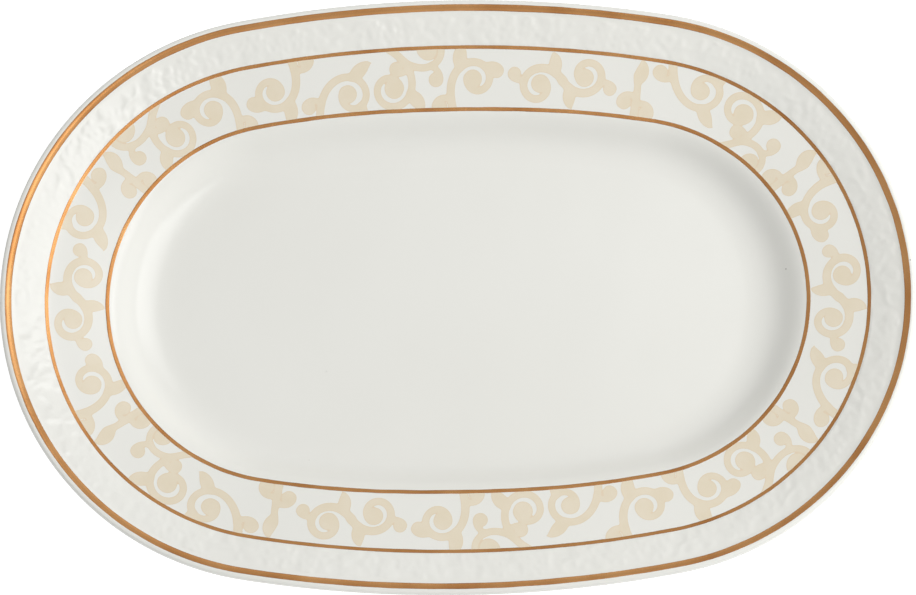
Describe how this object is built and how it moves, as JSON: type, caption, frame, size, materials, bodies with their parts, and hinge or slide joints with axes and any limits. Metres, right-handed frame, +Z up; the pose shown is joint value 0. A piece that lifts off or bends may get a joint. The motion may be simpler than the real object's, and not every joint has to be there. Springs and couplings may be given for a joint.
{
  "type": "serving platter",
  "caption": "Oval china serving platter with a shallow well, a flared rim with relief, gilt lines and a pale printed scroll border, and a ground foot ring.",
  "frame": {"origin": "on the table under the middle of the platter, at the centre of the lowest face of its bounding box", "axes": "+X along the platter's length, +Z up out of the well, +Y across it, completing a right-handed frame"},
  "size_m": [0.35, 0.2332, 0.03],
  "materials": {
    "china": "clear glossy glaze on white china",
    "biscuit": "unglazed, ground flat and fine-grained",
    "gilt": "fired liquid gold, bright with fine brush streaks",
    "print": "pale beige transfer print fired into the glaze, glossy"
  },
  "bodies": {
    "root": {"china_body": "china", "foot_ring": "biscuit", "gilt_line_outer": "gilt", "gilt_line_middle": "gilt", "gilt_line_inner": "gilt", "scroll_print_01": "print", "scroll_print_02": "print", "scroll_print_03": "print", "scroll_print_04": "print", "scroll_print_05": "print", "scroll_print_06": "print", "scroll_print_07": "print", "scroll_print_08": "print", "scroll_print_09": "print", "scroll_print_10": "print", "scroll_print_11": "print", "scroll_print_12": "print", "scroll_print_13": "print", "scroll_print_14": "print", "scroll_print_15": "print", "scroll_print_16": "print", "scroll_print_17": "print", "scroll_print_18": "print", "scroll_print_19": "print", "scroll_print_20": "print", "scroll_print_21": "print", "scroll_print_22": "print", "scroll_print_23": "print", "scroll_print_24": "print", "scroll_print_25": "print", "scroll_print_26": "print", "scroll_print_27": "print", "scroll_print_28": "print", "scroll_print_29": "print", "scroll_print_30": "print", "scroll_print_31": "print", "scroll_print_32": "print", "scroll_print_33": "print", "scroll_print_34": "print", "scroll_print_35": "print", "scroll_print_36": "print"}
  },
  "joints": []
}
